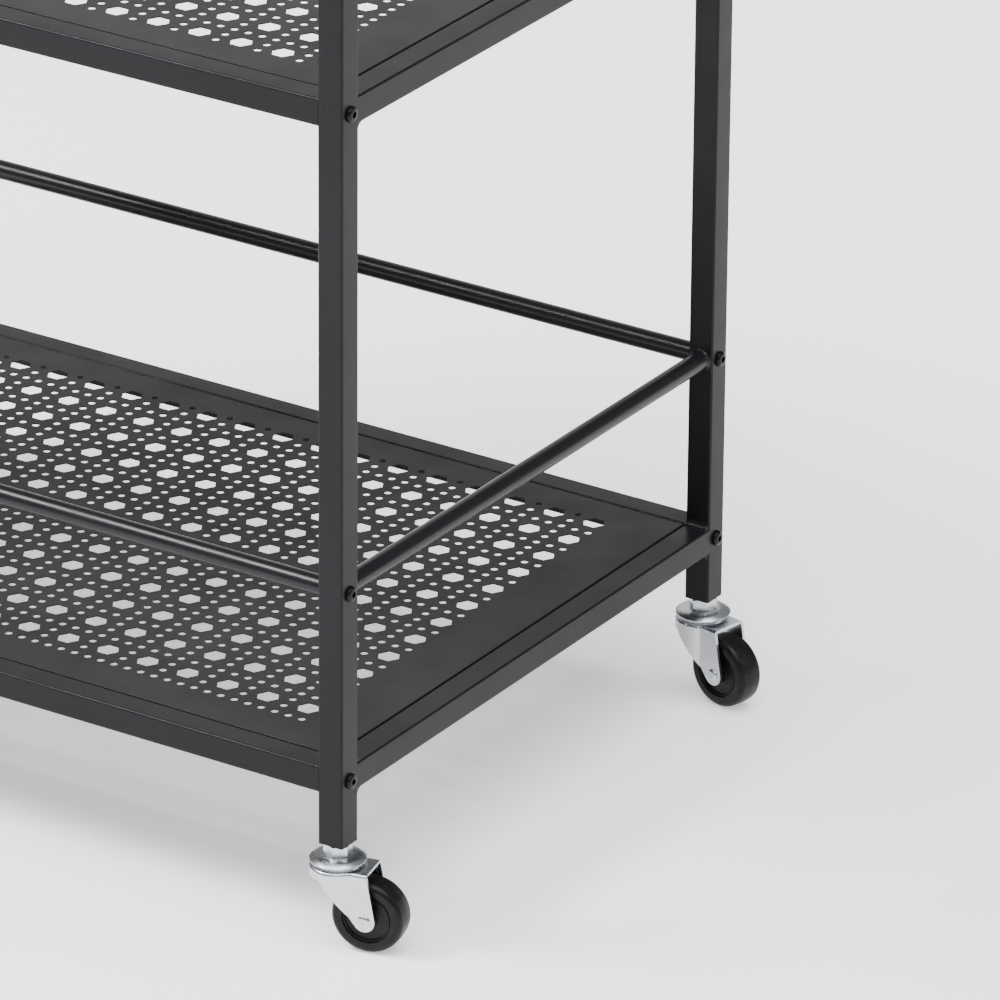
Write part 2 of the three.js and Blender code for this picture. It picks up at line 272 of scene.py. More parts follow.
def discard(*models):
    for model in models:
        bpy.data.objects.remove(model)


# %% [markdown]
# ## Square tube
# The legs and rails are cold-rolled square tube. Its corners are rounded by the rolls, and that
# small round edge is what catches the light along the whole cart. A box whose four long edges are
# bevelled and whose wall is made by Solidify is the same thing, and it keeps its ends open.

# %% A length of tube
TUBE_CORNER = 1.5 * MM
TUBE_WALL = 1.2 * MM


def tube(name, low, high, axis, plugged=False):
    """Square tube between two corners of its box, open at both ends of its axis or plugged."""
    piece = box_between(name, low, high)
    pick(piece, edges=lambda a, b: abs((a - b)[axis]) > TUBE)
    bpy.ops.mesh.bevel(offset=TUBE_CORNER, segments=4, affect="EDGES")
    if not plugged:
        pick(piece, faces=lambda centre, normal: abs(normal[axis]) > 0.9)
        bpy.ops.mesh.delete(type="FACE")
        bpy.ops.object.mode_set(mode="OBJECT")
        add_modifier(piece, "SOLIDIFY", thickness=TUBE_WALL, offset=-1, use_even_offset=True)
    return smooth(piece)


leg_model = tube(
    "leg_model",
    (-TUBE / 2, -TUBE / 2, LEG_BOTTOM),
    (TUBE / 2, TUBE / 2, LEG_TOP),
    axis=2,
)
for corner, (side, face) in CORNERS.items():
    place = Matrix.Translation((side * LEG_X, face * LEG_Y, 0))
    set_in_place(leg_model, f"tube_leg_{corner}", "root", "frame_coat", place, [f"leg_{corner}"])
print("leg:", triangles(leg_model), "triangles")
discard(leg_model)

# %% [markdown]
# The long rails are plugged at their ends, butt against the legs and are pulled tight by screws,
# so a fine line shows at each end. The side rails are welded and ground flush with the legs. A
# welded rail therefore runs on over the leg's rounded corner, so that the two outer faces become
# one.

# %% Rails
WELD_REACH = TUBE_CORNER
BUTT_REACH = 0.6 * MM  # a butted end presses this far into the leg's rounded corner
long_rail_end = HALF_LENGTH - TUBE + BUTT_REACH
side_rail_end = HALF_DEPTH - TUBE + WELD_REACH

for tier in TIERS:
    for face_name, face in (("front", -1), ("back", 1)):
        rail = tube(
            "rail_model",
            (-long_rail_end, face * LEG_Y - TUBE / 2, RAIL_Z[tier] - TUBE / 2),
            (long_rail_end, face * LEG_Y + TUBE / 2, RAIL_Z[tier] + TUBE / 2),
            axis=0,
            plugged=True,
        )
        node = f"long_rail_{tier}_{face_name}"
        set_in_place(rail, f"tube_{node}", "root", "frame_coat", nodes=[node])
        discard(rail)
    for side_name, side in (("left", -1), ("right", 1)):
        rail = tube(
            "rail_model",
            (side * LEG_X - TUBE / 2, -side_rail_end, RAIL_Z[tier] - TUBE / 2),
            (side * LEG_X + TUBE / 2, side_rail_end, RAIL_Z[tier] + TUBE / 2),
            axis=1,
        )
        node = f"side_rail_{tier}_{side_name}"
        set_in_place(rail, f"tube_{node}", "root", "frame_coat", nodes=[node])
        discard(rail)
print("rails:", sum("_rail_" in piece.name for piece, _ in finished))

# %% [markdown]
# A weld fills the inside corner above and below each welded rail with a small hollow fillet. It is
# cut from a block with a round bar, which leaves the same curve as the bead of a MIG welder after
# powder coating.

# %% Weld fillets of the side rails
FILLET = 5.5 * MM
fillet_width = TUBE - 1.2 * TUBE_CORNER


def rail_fillet():
    """A fillet in the corner below a rail: its corner at the origin, running along X."""
    block = box_between(
        "fillet_model",
        (-fillet_width / 2, 0, -FILLET),
        (fillet_width / 2, FILLET, 0),
    )
    bpy.ops.mesh.primitive_cylinder_add(
        vertices=32,
        radius=FILLET,
        depth=2 * fillet_width,
        location=(0, FILLET, -FILLET),
        rotation=(0, pi / 2, 0),
    )
    cutter = bpy.context.object
    add_modifier(block, "BOOLEAN", operation="DIFFERENCE", object=cutter, solver="EXACT")
    discard(cutter)
    return smooth(block)


fillet = rail_fillet()
for tier in TIERS:
    for corner, (side, face) in CORNERS.items():
        for level, up in (("under", 1), ("over", -1)):
            place = (
                Matrix.Translation(
                    (side * LEG_X, face * (HALF_DEPTH - TUBE), RAIL_Z[tier] - up * TUBE / 2)
                )
                @ Matrix.Diagonal((1, -face, up, 1))
            )
            set_in_place(fillet, f"weld_{level}_rail_{tier}_{corner}", "root", "frame_coat", place)
discard(fillet)

# %% [markdown]
# ## Guard bars
# The guard bars are drawn round bar. The long ones stop at the legs and are held by screws. The
# side ones are welded, and the weld flares out to the leg in a small hollow ring, which is turned
# together with the bar.

# %% Long and side guard bars
FLARE_WIDE, FLARE_LONG = 1.6 * MM, 4.6 * MM
BAR_EDGE = 0.5 * MM


def guard_outline(half, welded):
    """Half the outline of a bar about its own axis, with either a broken edge or a weld flare."""
    if welded:
        bend = arc(1, -1, 1, 180, 90, 7)
        end = [(GUARD_RADIUS + r * FLARE_WIDE, half + h * FLARE_LONG) for r, h in bend]
    else:
        end = [(GUARD_RADIUS, half - BAR_EDGE), (GUARD_RADIUS - BAR_EDGE, half)]
    high_side = end + [(0, half)]
    low_side = [(r, -h) for r, h in reversed(high_side)]
    return low_side + high_side


def guard(name, half, welded, quarter_turn):
    bar = turned(name, guard_outline(half, welded), steps=40)
    bar.data.transform(quarter_turn)
    return smooth(bar)


TO_X = Matrix.Rotation(pi / 2, 4, "Y")
TO_Y = Matrix.Rotation(-pi / 2, 4, "X")
long_bar = guard("long_bar_model", long_rail_end, False, TO_X)
side_bar = guard("side_bar_model", HALF_DEPTH - TUBE, True, TO_Y)
for tier in TIERS:
    for face_name, face in (("front", -1), ("back", 1)):
        node = f"long_guard_{tier}_{face_name}"
        place = Matrix.Translation((0, face * LEG_Y, GUARD_Z[tier]))
        set_in_place(long_bar, f"bar_{node}", "root", "guard_coat", place, [node])
    for side_name, side in (("left", -1), ("right", 1)):
        node = f"side_guard_{tier}_{side_name}"
        place = Matrix.Translation((side * LEG_X, 0, GUARD_Z[tier]))
        set_in_place(side_bar, f"bar_{node}", "root", "guard_coat", place, [node])
print("guard bar:", triangles(long_bar), "triangles")
discard(long_bar, side_bar)

# %% [markdown]
# ## Screws
# Button-head screws with a hexagon socket hold the long rails and bars. The head is turned, and
# the socket is cut with a six-sided bar.

# %% One screw, sixteen places
screw_low, screw_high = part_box("rail_screw_lower_front_right")
HEAD_RADIUS = (screw_high.z - screw_low.z) / 2
HEAD_HEIGHT = screw_high.x - HALF_LENGTH
SOCKET = 4 * MM  # across the flats
SOCKET_DEPTH = 2 * MM
SHANK_RADIUS = 3 * MM


def button_screw():
    """A screw with its head on the plane z = 0, pointing down."""
    rim = 0.42 * HEAD_HEIGHT
    crown = HEAD_HEIGHT - rim
    length = TUBE + 9 * MM
    outline = [
        (0, -length),
        (SHANK_RADIUS - 0.6 * MM, -length),
        (SHANK_RADIUS, -length + 0.6 * MM),
        (SHANK_RADIUS, 0.05 * MM),
        (HEAD_RADIUS - 0.2 * MM, 0.05 * MM),
        (HEAD_RADIUS, 0.25 * MM),
        (HEAD_RADIUS, rim),
    ]
    flat = 0.52 * HEAD_RADIUS
    shoulder = HEAD_RADIUS - flat
    for i in range(1, 7):
        a = pi / 2 * i / 6
        outline.append((flat + shoulder * cos(a), rim + crown * sin(a)))
    outline.append((0, HEAD_HEIGHT))
    screw = turned("screw_model", outline, steps=40)
    let_go()
    bpy.ops.mesh.primitive_cylinder_add(
        vertices=6,
        radius=SOCKET / 2 / cos(pi / 6),
        depth=2 * SOCKET_DEPTH,
        location=(0, 0, HEAD_HEIGHT),
    )
    cutter = bpy.context.object
    add_modifier(screw, "BOOLEAN", operation="DIFFERENCE", object=cutter, solver="EXACT")
    discard(cutter)
    return smooth(screw, 30)


screw = button_screw()
for tier in TIERS:
    for use, height in (("rail", RAIL_Z[tier]), ("guard", GUARD_Z[tier])):
        for corner, (side, face) in CORNERS.items():
            node = f"{use}_screw_{tier}_{corner}"
            seat = Matrix.Translation((side * HALF_LENGTH, face * LEG_Y, height))
            place = seat @ Matrix.Rotation(side * pi / 2, 4, "Y")
            set_in_place(screw, f"button_{node}", "root", "black_oxide", place, [node])
print("screw:", triangles(screw), "triangles")
discard(screw)

# %% [markdown]
# ## Perforated shelves
# The shelf is punched sheet, with a pattern like woven cane: a square lattice of hexagons, and
# lines of small round holes between them. One unit of the pattern holds one hexagon and five round
# holes. It is cut once with Boolean, only its top face is kept, and two Array modifiers repeat it,
# so that neighbours share their edges. The plain rim is extruded from the border of that field.

# %% The pattern's unit
shelf_low, shelf_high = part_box("shelf_upper")
GROOVE = 1.1 * MM
SHEET = 0.8 * MM
COLUMNS, ROWS = 18, 12
FIELD_MARGIN = {"left": 39.2, "right": 41.7, "front": 27.4, "back": 22.2}  # mm, lower shelf
panel_x = HALF_LENGTH - TUBE - GROOVE
panel_y = HALF_DEPTH - TUBE - GROOVE
field_x = (-panel_x + FIELD_MARGIN["left"] * MM, panel_x - FIELD_MARGIN["right"] * MM)
field_y = (-panel_y + FIELD_MARGIN["front"] * MM, panel_y - FIELD_MARGIN["back"] * MM)
PITCH_X = (field_x[1] - field_x[0]) / COLUMNS
PITCH_Y = (field_y[1] - field_y[0]) / ROWS
HEX_RADIUS = PITCH_X / 4
HOLE_RADIUS = PITCH_X / 12
HOLE_SIDES = 14
PUNCH_LENGTH = 20 * MM
BLANK_DEPTH = 5 * MM  # of the block that the unit is cut from


def punch(x, y, radius, sides):
    """A punch that stands through the sheet."""
    let_go()
    bpy.ops.mesh.primitive_cylinder_add(
        vertices=sides, radius=radius, depth=PUNCH_LENGTH, location=(x, y, 0)
    )
    tool = bpy.context.object
    if sides == 6:
        tool.data.transform(Matrix.Rotation(pi / 6, 4, "Z"))
    bpy.ops.object.transform_apply(location=True, rotation=True, scale=True)
    return tool


def pattern_unit():
    """One hexagon at the origin, with the round holes to its left and in front of it."""
    unit = box_between(
        "unit_model",
        (-PITCH_X * 2 / 3, -PITCH_Y * 2 / 3, -BLANK_DEPTH),
        (PITCH_X / 3, PITCH_Y / 3, 0),
    )
    tools = [punch(0, 0, HEX_RADIUS, 6)]
    line_x, line_y = -PITCH_X / 2, -PITCH_Y / 2
    for share in (-1 / 2, -1 / 6, 1 / 6):
        tools.append(punch(share * PITCH_X, line_y, HOLE_RADIUS, HOLE_SIDES))
    for share in (-1 / 6, 1 / 6):
        tools.append(punch(line_x, share * PITCH_Y, HOLE_RADIUS, HOLE_SIDES))
    punches = join("punches", *tools)
    add_modifier(unit, "BOOLEAN", operation="DIFFERENCE", object=punches, solver="EXACT")
    discard(punches)
    pick(unit, faces=lambda centre, normal: not (normal.z > 0.9 and centre.z > -MM))
    bpy.ops.mesh.delete(type="FACE")
    bpy.ops.object.mode_set(mode="OBJECT")
    return unit


unit = pattern_unit()
print("pattern unit:", triangles(unit), "triangles, pitch", round(PITCH_X, 4), round(PITCH_Y, 4))

# %% [markdown]
# The rim follows. Each side of the field is extruded outwards, then the outer border is folded
# down into a flange, and the flange is folded out into the lip that is welded to the rails.
# Solidify gives the sheet its thickness last, and that also makes the wall of every hole.

# %% The whole shelf
FOLD = 0.7 * MM
flange_depth = shelf_high.z - shelf_low.z
lip_reach = (shelf_high.x - shelf_low.x) / 2 - panel_x


def border(piece, axis, value):
    """Picks the open edges that lie at one value of one axis."""
    pick(piece, edges=lambda a, b: abs(a[axis] - value) < NEAR and abs(b[axis] - value) < NEAR)


def on_rim(v):
    """Whether a point lies on the sharp outer edge of the shelf's top."""
    at_side = abs(abs(v.x) - panel_x) < NEAR or abs(abs(v.y) - panel_y) < NEAR
    return abs(v.z) < NEAR and at_side


def extrude_by(x=0.0, y=0.0, z=0.0):
    bpy.ops.mesh.extrude_region_move(TRANSFORM_OT_translate={"value": (x, y, z)})


def shelf_model():
    """The lower shelf, with its top at z = 0."""
    shelf = unit.copy()
    shelf.data = unit.data.copy()
    shelf.name = "shelf_model"
    bpy.context.collection.objects.link(shelf)
    for count, offset in ((COLUMNS, (PITCH_X, 0, 0)), (ROWS, (0, PITCH_Y, 0))):
        add_modifier(
            shelf,
            "ARRAY",
            count=count,
            use_relative_offset=False,
            use_constant_offset=True,
            constant_offset_displace=offset,
            use_merge_vertices=True,
            merge_threshold=NEAR,
        )
    first_x = field_x[0] + PITCH_X * 2 / 3
    first_y = field_y[0] + PITCH_Y * 2 / 3
    shelf.data.transform(Matrix.Translation((first_x, first_y, 0)))
    for axis, value, edge in (
        (0, field_x[0], -panel_x),
        (0, field_x[1], panel_x),
        (1, field_y[0], -panel_y),
        (1, field_y[1], panel_y),
    ):
        border(shelf, axis, value)
        step = [0, 0]
        step[axis] = edge - value
        extrude_by(*step)
    for axis, value in ((0, -panel_x), (0, panel_x), (1, -panel_y), (1, panel_y)):
        border(shelf, axis, value)
        extrude_by(z=-flange_depth + SHEET)
        step = [0, 0]
        step[axis] = lip_reach if value > 0 else -lip_reach
        extrude_by(*step)
    pick_all(shelf)
    bpy.ops.mesh.remove_doubles(threshold=NEAR)
    bpy.ops.mesh.normals_make_consistent(inside=False)
    pick(shelf, edges=lambda a, b: on_rim(a) and on_rim(b))
    bpy.ops.mesh.bevel(offset=FOLD, segments=3, affect="EDGES")
    bpy.ops.object.mode_set(mode="OBJECT")
    return shelf


shelf = shelf_model()
up = sum(face.normal.z * face.area for face in shelf.data.polygons)
if up < 0:
    shelf.data.flip_normals()
add_modifier(shelf, "SOLIDIFY", thickness=SHEET, offset=-1, use_even_offset=False)
smooth(shelf, 32)
print("shelf:", triangles(shelf), "triangles")

# %% [markdown]
# Both shelves are the same pressing. The upper one is turned half round, which can be seen from
# the hole pattern ending differently at the same edge.

# %% Shelves in place
set_in_place(
    shelf,
    "perforated_shelf_lower",
    "root",
    "shelf_coat",
    Matrix.Translation((0, 0, RAIL_Z["lower"] + TUBE / 2)),
    ["shelf_lower"],
)
set_in_place(
    shelf,
    "perforated_shelf_upper",
    "root",
    "shelf_coat",
    Matrix.Translation((0, 0, RAIL_Z["upper"] + TUBE / 2)) @ Matrix.Rotation(pi, 4, "Z"),
    ["shelf_upper"],
)
discard(shelf, unit)

# %% [markdown]
# ## Leg ends
# A moulded cap closes each leg's top, and a welded plug with a thread closes its foot. The cap is
# a box with soft edges. The plug is tucked into the tube, and its lower edge is rounded like the
# ground end of the leg.

# %% Caps and foot plugs
cap_low, cap_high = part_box("leg_cap_front_right")
FOOT_LENGTH = 16 * MM


def square_plug(name, half, low, high, edge, segments=4):
    """A square block with round upright edges and a soft rim."""
    plug = box_between(name, (-half, -half, low), (half, half, high))
    pick(plug, edges=lambda a, b: abs(a.z - b.z) > (high - low) / 2)
    bpy.ops.mesh.bevel(offset=TUBE_CORNER, segments=4, affect="EDGES")
    bpy.ops.object.mode_set(mode="OBJECT")
    add_modifier(
        plug,
        "BEVEL",
        width=edge,
        segments=segments,
        limit_method="ANGLE",
        angle_limit=radians(50),
    )
    return smooth(plug, 40)


cap_top = square_plug("cap_top", TUBE / 2, LEG_TOP + 0.1 * MM, cap_high.z, 1.1 * MM)
bore_half = TUBE / 2 - TUBE_WALL - 0.1 * MM
cap_plug = square_plug("cap_plug", bore_half, cap_low.z, LEG_TOP + 0.6 * MM, 0.5 * MM, 2)
cap = join("cap_model", cap_top, cap_plug)
foot_low, foot_high = LEG_BOTTOM - 0.05 * MM, LEG_BOTTOM + FOOT_LENGTH
foot = square_plug("foot_model", bore_half, foot_low, foot_high, 0.4 * MM, 2)
for corner, (side, face) in CORNERS.items():
    place = Matrix.Translation((side * LEG_X, face * LEG_Y, 0))
    set_in_place(cap, f"cap_{corner}", "root", "cap_plastic", place, [f"leg_cap_{corner}"])
    set_in_place(foot, f"foot_plug_{corner}", "root", "frame_coat", place)
discard(cap, foot)

# %% [markdown]
# ## Casters
# A caster is modelled once about its swivel's axis, with the wheel trailing towards +X, and set
# under each leg at the angle that the frame gives. Its sizes come from the front right one: the
# axle's place gives the trail and the resting angle.

# %% Caster sizes
stem_low, stem_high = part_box("caster_stem_front_right")
wheel_low, wheel_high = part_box("caster_wheel_front_right")
RACE_RADIUS = (stem_high.y - stem_low.y) / 2
WHEEL_RADIUS = (wheel_high.z - wheel_low.z) / 2
AXLE_Z = WHEEL_RADIUS
wheel_middle = middle_of("caster_wheel_front_right")
TRAIL = (Vector((wheel_middle.x, wheel_middle.y)) - Vector((LEG_X, -LEG_Y))).length
FORK_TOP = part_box("caster_fork_front_right")[1].z
FORK_RADIUS = 19.5 * MM
CHEEK_HALF = 14 * MM
FORK_SHEET = 2 * MM
FORK_REACH = 25 * MM
TIP_RADIUS = 7.5 * MM
SKIRT = 7 * MM
print(f"wheel radius {WHEEL_RADIUS:.4f}, trail {TRAIL:.4f}, fork top {FORK_TOP:.4f}")

# %% [markdown]
# The bearing cap is a shallow pressed dome with a rolled rim. A hexagon nut sits on it and locks
# the stem against the leg. The nut's corners are turned off, so it is a six-sided bar that a cone
# has been intersected with.

# %% Bearing cap, nut and stem
HEX_HEIGHT = 8 * MM
NUT_FLATS = 17 * MM
HEX_FOOT = LEG_BOTTOM - 0.3 * MM - HEX_HEIGHT
CAP_RIM = FORK_TOP + 2.4 * MM
STEM_RADIUS = 5 * MM
STEM_REACH = 26 * MM  # up into the leg


def bearing_cap():
    rim_low, rim_high = CAP_RIM, CAP_RIM + 1.7 * MM
    outline = [
        (0, FORK_TOP - 4.4 * MM),
        (7.5 * MM, FORK_TOP - 4.4 * MM),
        (7.5 * MM, FORK_TOP - 2.6 * MM),
        (STEM_RADIUS, FORK_TOP - 2.4 * MM),
        (STEM_RADIUS, CAP_RIM + 0.3 * MM),
        (RACE_RADIUS - 3.5 * MM, CAP_RIM + 0.3 * MM),
        (RACE_RADIUS - 2.6 * MM, rim_low),
    ]
    outline += arc(RACE_RADIUS - 0.85 * MM, (rim_low + rim_high) / 2, 0.85 * MM, -90, 60, 6)
    outline += [
        (0.86 * RACE_RADIUS, HEX_FOOT - 1.25 * MM),
        (0.74 * RACE_RADIUS, HEX_FOOT - 0.55 * MM),
        (0.60 * RACE_RADIUS, HEX_FOOT - 0.12 * MM),
        (0.46 * RACE_RADIUS, HEX_FOOT),
        (STEM_RADIUS, HEX_FOOT),
        (STEM_RADIUS, LEG_BOTTOM + STEM_REACH - MM),
        (STEM_RADIUS - MM, LEG_BOTTOM + STEM_REACH),
        (0, LEG_BOTTOM + STEM_REACH),
    ]
    return smooth(turned("bearing_cap", outline, steps=72), 30)


def hexagon_nut():
    let_go()
    middle = HEX_FOOT + HEX_HEIGHT / 2
    corner_radius = NUT_FLATS / 2 / cos(pi / 6)
    bpy.ops.mesh.primitive_cylinder_add(
        vertices=6, radius=corner_radius, depth=HEX_HEIGHT, location=(0, 0, middle)
    )
    nut = bpy.context.object
    bpy.ops.object.transform_apply(location=True, rotation=True, scale=True)
    flat_radius = NUT_FLATS / 2
    drop = 1.1 * MM
    top, bottom = HEX_FOOT + HEX_HEIGHT, HEX_FOOT
    gauge = turned(
        "nut_gauge",
        [
            (0, bottom),
            (flat_radius - 0.2 * MM, bottom),
            (corner_radius + 0.2 * MM, bottom + drop),
            (corner_radius + 0.2 * MM, top - drop),
            (flat_radius - 0.2 * MM, top),
            (0, top),
        ],
        steps=48,
    )
    add_modifier(nut, "BOOLEAN", operation="INTERSECT", object=gauge, solver="EXACT")
    discard(gauge)
    return smooth(nut, 25)


stem_model = join("stem_model", bearing_cap(), hexagon_nut())
print("stem unit:", triangles(stem_model), "triangles")

# %% [markdown]
# The fork is pressed from 2 mm sheet: a round top that narrows to two flat cheeks, with a short
# skirt at the back. One point is extruded along its plan, the plan is filled and drawn up to a
# block, and the rim of its top is rounded as the press rounds it. The open front and underside are
# removed. The side view is then cut with one plane after another, which leaves the slanting back
# edge and the round tip, and Solidify makes the sheet.

# %% Fork
SLANT = radians(38)
FORK_LEAVE = 100  # degrees from the front, where a side leaves the round back
FORK_BEND = 2.4 * MM
BLANK_FRONT = FORK_REACH + 15 * MM  # the block runs on past the fork's front edge
FRONT_WALL = BLANK_FRONT - MM  # what lies beyond this is the block's own front
SIDE_STEPS, BACK_STEPS = 8, 30
SIDE_PULL = 0.45  # how far along a side its curve is drawn
TIP_CUTS = 12


def fork_plan():
    """The fork seen from above: round at the back, drawn in to two flat cheeks."""
    leave = radians(FORK_LEAVE)
    start = Vector((FORK_RADIUS * cos(leave), FORK_RADIUS * sin(leave)))
    end = Vector((FORK_REACH / 2, CHEEK_HALF))
    pull = Vector((SIDE_PULL * end.x, start.y))
    side = []
    for i in range(SIDE_STEPS + 1):
        t = i / SIDE_STEPS
        side.append(start * (1 - t) ** 2 + pull * 2 * t * (1 - t) + end * t**2)
    back = []
    for i in range(1, BACK_STEPS):
        a = leave + (2 * pi - 2 * leave) * i / BACK_STEPS
        back.append(Vector((FORK_RADIUS * cos(a), FORK_RADIUS * sin(a))))
    mirrored = [Vector((q.x, -q.y)) for q in side]
    front = [Vector((BLANK_FRONT, y)) for y in (CHEEK_HALF, -CHEEK_HALF)]
    return [front[0], *side[::-1], *back, *mirrored, front[1]]


def on_fork_shoulder(a, b):
    """Whether an edge runs round the fork's top, and not across the block's front."""
    at_top = abs(a.z - FORK_TOP) < NEAR and abs(b.z - FORK_TOP) < NEAR
    return at_top and (a.x + b.x) / 2 < FRONT_WALL


def fork_block():
    """The solid that the fork is cut from, with its plan and its round shoulder."""
    low = AXLE_Z - TIP_RADIUS - 2 * MM
    let_go()
    bpy.ops.mesh.primitive_plane_add(size=MM, location=(0, 0, low))
    block = bpy.context.object
    block.name = "fork_block"
    bpy.ops.object.transform_apply(location=True, rotation=True, scale=True)
    pick_all(block)
    bpy.ops.mesh.select_mode(type="VERT")
    bpy.ops.mesh.merge(type="CENTER")
    plan = fork_plan()
    at = Vector((0, 0))
    for number, point in enumerate([*plan, plan[0]]):
        step = {"value": (point.x - at.x, point.y - at.y, 0)}
        if number == 0:
            bpy.ops.transform.translate(**step)
        else:
            bpy.ops.mesh.extrude_vertices_move(TRANSFORM_OT_translate=step)
        at = point
    bpy.ops.mesh.select_all(action="SELECT")
    bpy.ops.mesh.remove_doubles(threshold=NEAR)
    bpy.ops.mesh.edge_face_add()
    extrude_by(z=FORK_TOP - low)
    bpy.ops.mesh.select_all(action="SELECT")
    bpy.ops.mesh.normals_make_consistent(inside=False)
    pick(block, edges=on_fork_shoulder)
    bpy.ops.mesh.bevel(offset=FORK_BEND, segments=5, affect="EDGES")
    bpy.ops.object.mode_set(mode="OBJECT")
    return block


def cut(piece, point, outward, clear=True):
    """Cuts a piece with a plane, and clears what lies beyond it."""
    pick_all(piece)
    bpy.ops.mesh.bisect(plane_co=point, plane_no=outward, clear_outer=clear)
    bpy.ops.object.mode_set(mode="OBJECT")


def fork_shell():
    cheeks = fork_block()
    pick(cheeks, faces=lambda centre, normal: normal.z < -0.9 or centre.x > FRONT_WALL)
    bpy.ops.mesh.delete(type="FACE")
    bpy.ops.object.mode_set(mode="OBJECT")
    # The front edge runs from the top's reach to the front of the round tip.
    tip = Vector((TRAIL, 0, AXLE_Z))
    top_front = Vector((FORK_REACH, 0, FORK_TOP))
    to_tip = tip - top_front
    share = TIP_RADIUS / to_tip.length
    front_angle = atan2(to_tip.x, -to_tip.z) + atan2(share, (1 - share**2) ** 0.5)
    cut(cheeks, top_front, (cos(front_angle), 0, sin(front_angle)))
    # The skirt is what stays above its foot; the cheeks below it are cut to slant and tip.
    foot = (0, 0, FORK_TOP - SKIRT)
    skirt = cheeks.copy()
    skirt.data = cheeks.data.copy()
    bpy.context.collection.objects.link(skirt)
    cut(skirt, foot, (0, 0, -1))
    cut(cheeks, foot, (0, 0, 1))
    first, last = pi + SLANT, 2 * pi + front_angle
    for i in range(TIP_CUTS + 1):
        turn = first + (last - first) * i / TIP_CUTS
        outward = Vector((cos(turn), 0, sin(turn)))
        if i == 0:
            cut(skirt, tip + outward * TIP_RADIUS, outward, clear=False)
        cut(cheeks, tip + outward * TIP_RADIUS, outward)
    shell = join("fork_shell", skirt, cheeks)
    pick_all(shell)
    bpy.ops.mesh.remove_doubles(threshold=NEAR)
    bpy.ops.object.mode_set(mode="OBJECT")
    return shell


def raised_race():
    """The ring pressed up in the fork's top, which the balls run in."""
    outer, inner = FORK_RADIUS - FORK_BEND, FORK_RADIUS - 6 * MM
    base = FORK_TOP - 0.5 * MM
    crest = FORK_TOP + 1.3 * MM
    outline = [(inner - 2 * MM, base)]
    outline += [(inner, crest - 0.4 * MM), (inner + 0.6 * MM, crest), (outer - 1.2 * MM, crest)]
    outline += [(outer - 0.4 * MM, crest - 0.4 * MM), (outer, base + 0.3 * MM), (outer, base)]
    outline += [(inner - 2 * MM, base)]
    return smooth(turned("raised_race", outline, steps=72), 50)


shell = fork_shell()
add_modifier(shell, "SOLIDIFY", thickness=FORK_SHEET, offset=-1, use_even_offset=True)
add_modifier(
    shell, "BEVEL", width=0.45 * MM, segments=2, limit_method="ANGLE", angle_limit=radians(40)
)
smooth(shell, 40)
fork_model = join("fork_model", shell, raised_race())
print("fork:", triangles(fork_model), "triangles")

# %% [markdown]
# The axle is a rivet: a shank with a domed head pressed flat in the middle on one side of the fork
# and the same on the other.

# %% Axle
def rivet():
    head, tall = 4.5 * MM, 1.6 * MM
    seat = CHEEK_HALF + 0.05 * MM
    shank = 3 * MM
    crown = [
        (head, seat),
        (head, seat + 0.35 * MM),
        (0.93 * head, seat + 0.8 * MM),
        (0.75 * head, seat + 1.3 * MM),
        (0.5 * head, seat + tall),
        (0.34 * head, seat + tall),
        (0.2 * head, seat + 0.75 * tall),
        (0, seat + 0.72 * tall),
    ]
    high_side = [(shank, seat)] + crown
    low_side = [(r, -h) for r, h in reversed(high_side)]
    return turned("axle_model", low_side + high_side, steps=36)


axle_model = rivet()
axle_model.data.transform(Matrix.Translation((TRAIL, 0, AXLE_Z)) @ TO_Y)
smooth(axle_model, 35)

# %% [markdown]
# The wheel is one moulding. Its tread is slightly crowned and runs into the sides on a soft
# radius. A fine ring groove parts the tyre from the disc, the disc is dished, and a hub stands out
# round the axle.

# %% Wheel
WHEEL_HALF = 10 * MM
HUB_HALF = 11.7 * MM


def wheel_outline():
    """Half the section, from the bore outwards on the +height side, then mirrored."""
    edge = 4.2 * MM
    groove = 0.64 * WHEEL_RADIUS
    dish = WHEEL_HALF - 2.2 * MM
    side = [
        (3.3 * MM, HUB_HALF),
        (6.6 * MM, HUB_HALF),
        (7.2 * MM, HUB_HALF - 0.5 * MM),
        (7.6 * MM, dish + 0.5 * MM),
        (8.2 * MM, dish),
        (groove - 1.6 * MM, dish),
        (groove - 1.0 * MM, dish + 0.3 * MM),
        (groove - 0.8 * MM, WHEEL_HALF - 0.9 * MM),
        (groove - 0.4 * MM, WHEEL_HALF - 0.6 * MM),
        (groove, WHEEL_HALF - 0.6 * MM),
        (groove + 0.2 * MM, WHEEL_HALF - 1.5 * MM),
        (groove + 0.7 * MM, WHEEL_HALF - 1.5 * MM),
        (groove + 0.9 * MM, WHEEL_HALF - 0.35 * MM),
        (groove + 1.5 * MM, WHEEL_HALF),
    ]
    crown = 0.35 * MM
    side += arc(WHEEL_RADIUS - edge - crown, WHEEL_HALF - edge, edge, 82, 6, 6)
    side += [(WHEEL_RADIUS - 0.12 * MM, 0.3 * WHEEL_HALF)]
    other = [(r, -h) for r, h in reversed(side)]
    return side + [(WHEEL_RADIUS, 0.4 * MM), (WHEEL_RADIUS, -0.4 * MM)] + other + [side[0]]


wheel_model = turned("wheel_model", wheel_outline(), steps=84)
wheel_model.data.transform(Matrix.Translation((TRAIL, 0, AXLE_Z)) @ TO_Y)
smooth(wheel_model, 40)
print("wheel:", triangles(wheel_model), "triangles")

